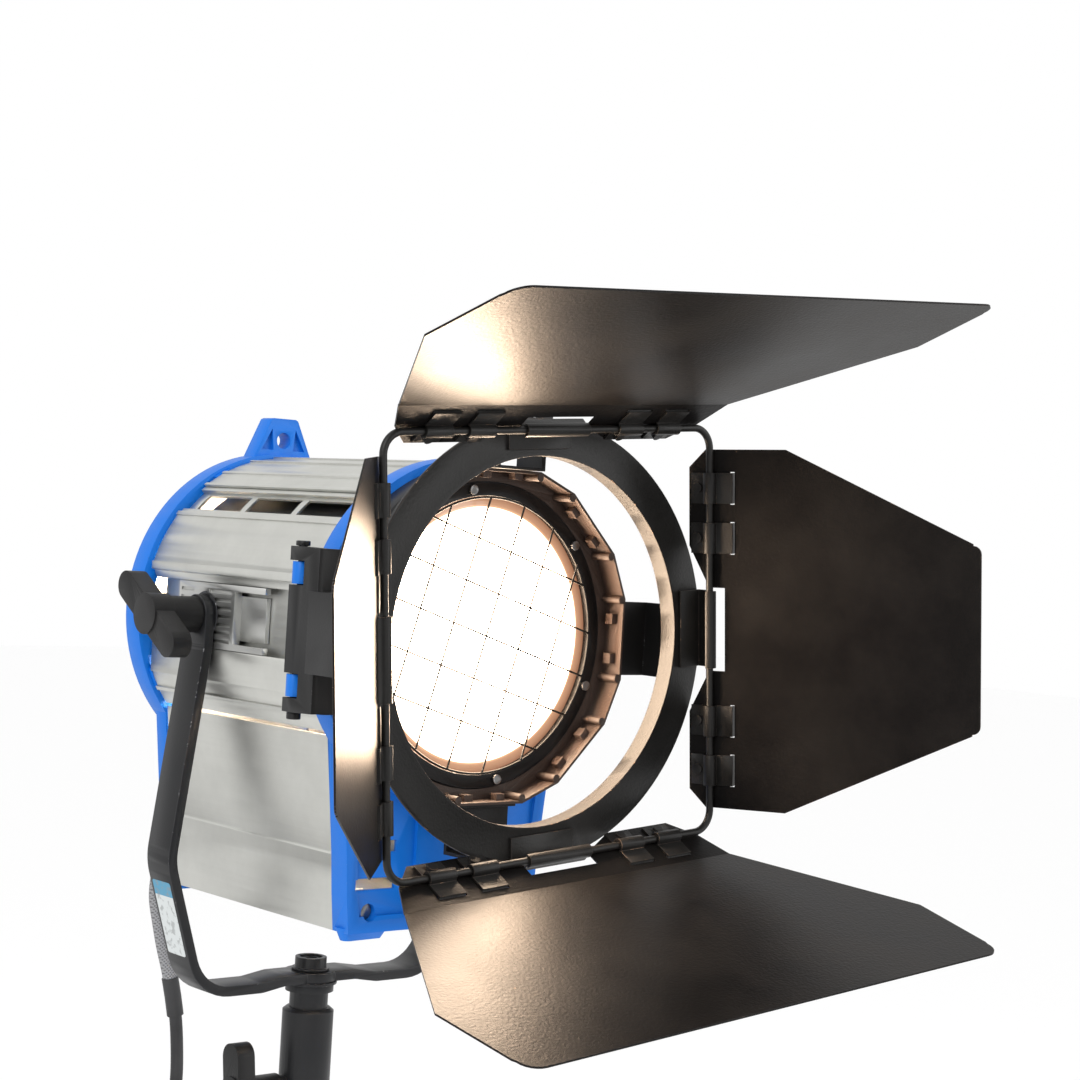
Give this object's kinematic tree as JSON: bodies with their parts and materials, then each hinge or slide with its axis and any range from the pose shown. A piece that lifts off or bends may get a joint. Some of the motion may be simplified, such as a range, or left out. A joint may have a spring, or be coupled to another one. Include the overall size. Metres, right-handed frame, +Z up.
{
  "type": "fresnel spotlight",
  "caption": "Yoke-mounted studio spotlight with a stepped lens, focusing lamp carriage and rotating four-leaf barndoor.",
  "frame": {"origin": "centre of the stand socket's bore at its lower mouth", "axes": "+Z up along the socket's bore, the lamp faces -Y at zero tilt, +X to the right seen from the front of the camera side looking along +Y"},
  "size_m": [0.4479, 0.6035, 0.7654],
  "materials": {
    "black_steel": "satin black powder coat",
    "socket_steel": "satin black, worn to steel at the mouth",
    "black_plastic": "moulded matt black",
    "clamp_aluminium": "bare extrusion, satin",
    "blue_casting": "bright blue powder coat with fine grain",
    "shell_aluminium": "bare extrusion, satin with fine draw lines",
    "inner_steel": "plain steel",
    "reflector_metal": "polished",
    "bulb_glass": "clear quartz",
    "ceramic": "glazed ceramic",
    "door_black": "satin black",
    "worn_black": "heat-worn black with brown bare edges",
    "leaf_black": "heat-worn matt black sheet",
    "lens_glass": "stepped borosilicate",
    "guard_wire": "heat-tinted wire",
    "cord_rubber": "matt black rubber",
    "tie_fabric": "woven hook tape",
    "plug_rubber": "moulded rubber"
  },
  "bodies": {
    "yoke": {"yoke": "black_steel", "stand_socket": "socket_steel", "socket_nut": "black_steel", "socket_washer": "black_steel", "cord_tube": "cord_rubber", "cord_coil": "cord_rubber", "cord_tie": "tie_fabric", "mains_plug": "plug_rubber"},
    "socket_handle": {"socket_handle": "black_plastic"},
    "clamps": {"slide_clamp_left": "clamp_aluminium", "slide_clamp_right": "clamp_aluminium", "pivot_bolts": "black_steel"},
    "tilt_handle": {"tilt_handle": "black_plastic"},
    "head": {"front_casting": "blue_casting", "rear_casting": "blue_casting", "shell_top": "shell_aluminium", "vent_grille_left": "shell_aluminium", "vent_grille_right": "shell_aluminium", "side_extrusion_left": "shell_aluminium", "side_extrusion_right": "shell_aluminium", "lower_panel_left": "shell_aluminium", "lower_panel_right": "shell_aluminium", "bottom_plate": "shell_aluminium", "light_baffle": "inner_steel", "rear_cover": "shell_aluminium", "cable_gland": "black_plastic", "guide_rods": "inner_steel"},
    "lamp_carriage": {"reflector": "reflector_metal", "bulb_glass": "bulb_glass", "bulb_base": "ceramic", "lamp_holder": "ceramic", "lamp_carriage": "inner_steel"},
    "focus_screw": {"focus_spindle": "inner_steel", "focus_knob": "black_plastic"},
    "lens_door": {"door_frame": "door_black", "door_skirt": "worn_black", "lens": "lens_glass", "retaining_ring": "door_black", "ring_screws": "inner_steel", "wire_guard": "guard_wire", "accessory_ears": "black_steel", "hinge_pin": "black_steel"},
    "door_latch": {"door_latch": "black_steel"},
    "top_latch": {"top_latch": "black_steel"},
    "barndoor": {"barndoor_ring": "worn_black", "rod_frame": "worn_black", "rod_brackets": "worn_black"},
    "leaf_top": {"leaf_top": "leaf_black", "clips_top": "worn_black"},
    "leaf_bottom": {"leaf_bottom": "leaf_black", "clips_bottom": "worn_black"},
    "leaf_left": {"leaf_left": "leaf_black", "clips_left": "worn_black"},
    "leaf_right": {"leaf_right": "leaf_black", "clips_right": "worn_black"}
  },
  "joints": [
    {"name": "tilt", "type": "hinge", "parent": "yoke", "child": "clamps", "pos_m": [0, 0, 0.332], "axis": [-1, 0, 0], "range_deg": [-45, 30], "deforming": ["cord_tube"]},
    {"name": "socket_clamp", "type": "hinge", "parent": "yoke", "child": "socket_handle", "pos_m": [-0.022, 0, 0.02], "axis": [-1, 0, 0], "range_deg": [0, 180]},
    {"name": "tilt_clamp", "type": "hinge", "parent": "clamps", "child": "tilt_handle", "pos_m": [-0.106, 0, 0.332], "axis": [-1, 0, 0], "range_deg": [0, 180]},
    {"name": "balance_slide", "type": "slide", "parent": "clamps", "child": "head", "axis": [0, 1, 0], "range_m": [0, 0.04]},
    {"name": "focus_travel", "type": "slide", "parent": "head", "child": "lamp_carriage", "axis": [0, 1, 0], "range_m": [-0.03, 0.03]},
    {"name": "focus_turn", "type": "hinge", "parent": "head", "child": "focus_screw", "pos_m": [-0.0554, -0.1585, 0.162], "axis": [0, 1, 0], "range_deg": [-360, 360]},
    {"name": "door_swing", "type": "hinge", "parent": "head", "child": "lens_door", "pos_m": [-0.116, -0.1315, 0.332], "axis": [0, 0, -1], "range_deg": [0, 95]},
    {"name": "door_catch", "type": "hinge", "parent": "head", "child": "door_latch", "pos_m": [0.1125, -0.1315, 0.332], "axis": [0, 0, 1], "range_deg": [0, 25], "stiffness_Nm_per_rad": 0.05},
    {"name": "top_catch", "type": "hinge", "parent": "lens_door", "child": "top_latch", "pos_m": [0, -0.1825, 0.453], "axis": [-1, 0, 0], "range_deg": [0, 50], "stiffness_Nm_per_rad": 0.2},
    {"name": "barndoor_turn", "type": "hinge", "parent": "lens_door", "child": "barndoor", "pos_m": [0, -0.2025, 0.332], "axis": [0, 1, 0], "continuous": true},
    {"name": "leaf_top_swing", "type": "hinge", "parent": "barndoor", "child": "leaf_top", "pos_m": [-0.01038, -0.2295, 0.45697], "axis": [-0.9966, 0, -0.0828], "range_deg": [-28.5, 51.5]},
    {"name": "leaf_bottom_swing", "type": "hinge", "parent": "barndoor", "child": "leaf_bottom", "pos_m": [0.01038, -0.2295, 0.20703], "axis": [0.9966, 0, 0.0828], "range_deg": [-23, 57]},
    {"name": "leaf_right_swing", "type": "hinge", "parent": "barndoor", "child": "leaf_right", "pos_m": [0.12497, -0.2295, 0.34238], "axis": [-0.0828, 0, 0.9966], "range_deg": [-62, 48]},
    {"name": "leaf_left_swing", "type": "hinge", "parent": "barndoor", "child": "leaf_left", "pos_m": [-0.12497, -0.2295, 0.32162], "axis": [0.0828, 0, -0.9966], "range_deg": [-83.5, 26.5]}
  ],
  "couplings": [
    {"joint": "focus_turn", "follows": "focus_travel", "rad_per_m": 209.44}
  ]
}
